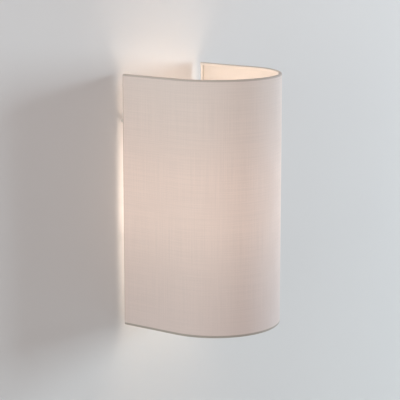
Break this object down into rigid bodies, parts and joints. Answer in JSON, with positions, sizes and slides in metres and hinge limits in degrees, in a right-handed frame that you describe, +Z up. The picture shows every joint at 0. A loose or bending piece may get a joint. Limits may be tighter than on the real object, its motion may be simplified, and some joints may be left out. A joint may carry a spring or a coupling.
{
  "type": "wall light with fabric shade",
  "caption": "Upright wall light: a U-shaped fabric shade, open above and below, hooks over a flat back plate that carries a screw-in bulb.",
  "frame": {"origin": "on the wall, in the back plate's rear face, on the light's middle plane at the shade's mid-height", "axes": "+Z up, +Y into the wall, +X to the right when facing the light"},
  "size_m": [0.156, 0.1605, 0.3],
  "materials": {
    "white_plate": "satin white powder coat",
    "zinc_steel": "zinc plated",
    "brass_parts": "bare brass",
    "plated_screws": "nickel plated",
    "natural_nylon": "natural nylon",
    "white_cover": "fine textured white",
    "grey_rubber": "matt",
    "brown_wire": "brown sheath",
    "blue_wire": "blue sheath",
    "green_wire": "green sheath with a yellow stripe",
    "holder_white": "moulded, glossy",
    "porcelain": "unglazed white",
    "tip_solder": "tinned",
    "black_glass": "black insulator",
    "bulb_nickel": "nickel plated",
    "bulb_body": "smooth white",
    "opal_dome": "opal, lit warm white",
    "board_white": "white solder mask on aluminium",
    "led_yellow": "phosphor",
    "board_green": "glass fibre board",
    "shade_cloth": "fine off-white weave, lit from inside",
    "hem_cloth": "the same cloth, turned over and glued",
    "shade_liner": "translucent white sheet",
    "frame_wire": "white coated wire"
  },
  "bodies": {
    "root": {"arm_nuts": "zinc_steel", "arm_studs": "zinc_steel", "arm_washers": "zinc_steel", "back_plate": "white_plate", "block_screws": "zinc_steel", "centre_contact": "brass_parts", "core_screws": "plated_screws", "cover_screws": "zinc_steel", "earth_nut": "zinc_steel", "earth_stud": "zinc_steel", "earth_tag": "brass_parts", "earth_washer": "zinc_steel", "earth_wire": "green_wire", "entry_grommet": "grey_rubber", "entry_nipple": "brass_parts", "lamp_arm": "white_plate", "lampholder_cap": "holder_white", "lampholder_core": "porcelain", "lampholder_skirt": "holder_white", "live_wire": "brown_wire", "neutral_wire": "blue_wire", "nipple_nut": "brass_parts", "nipple_washer": "zinc_steel", "side_contact": "brass_parts", "terminal_block": "natural_nylon", "terminal_clamps": "brass_parts", "terminal_cover": "white_cover", "terminal_screws": "plated_screws", "thread_sleeve": "brass_parts", "wire_clip": "natural_nylon"},
    "bulb_contact": {"bulb_tip": "tip_solder"},
    "bulb": {"bulb_insulator": "black_glass", "bulb_cap": "bulb_nickel", "bulb_collar": "bulb_body", "bulb_globe": "opal_dome", "led_board": "board_white", "led_chips": "led_yellow", "driver_board": "board_green"},
    "shade": {"shade_fabric": "shade_cloth", "shade_lining": "shade_liner", "top_hem": "hem_cloth", "bottom_hem": "hem_cloth", "left_side_hem": "hem_cloth", "right_side_hem": "hem_cloth", "top_ring_wire": "frame_wire", "bottom_ring_wire": "frame_wire", "left_upright": "frame_wire", "right_upright": "frame_wire", "upper_rung": "frame_wire", "lower_rung": "frame_wire"}
  },
  "joints": [
    {"name": "shade_lift", "type": "slide", "parent": "root", "child": "shade", "axis": [0, 0, 1], "range_m": [0, 0.265]},
    {"name": "bulb_rise", "type": "slide", "parent": "root", "child": "bulb_contact", "axis": [0, 0, 1], "range_m": [0, 0.0135]},
    {"name": "bulb_turn", "type": "hinge", "parent": "bulb_contact", "child": "bulb", "pos_m": [0, -0.0825, -0.05], "axis": [0, 0, 1], "range_deg": [0, 1339.71]}
  ],
  "couplings": [
    {"joint": "bulb_turn", "follows": "bulb_rise", "rad_per_m": 1731.4}
  ]
}
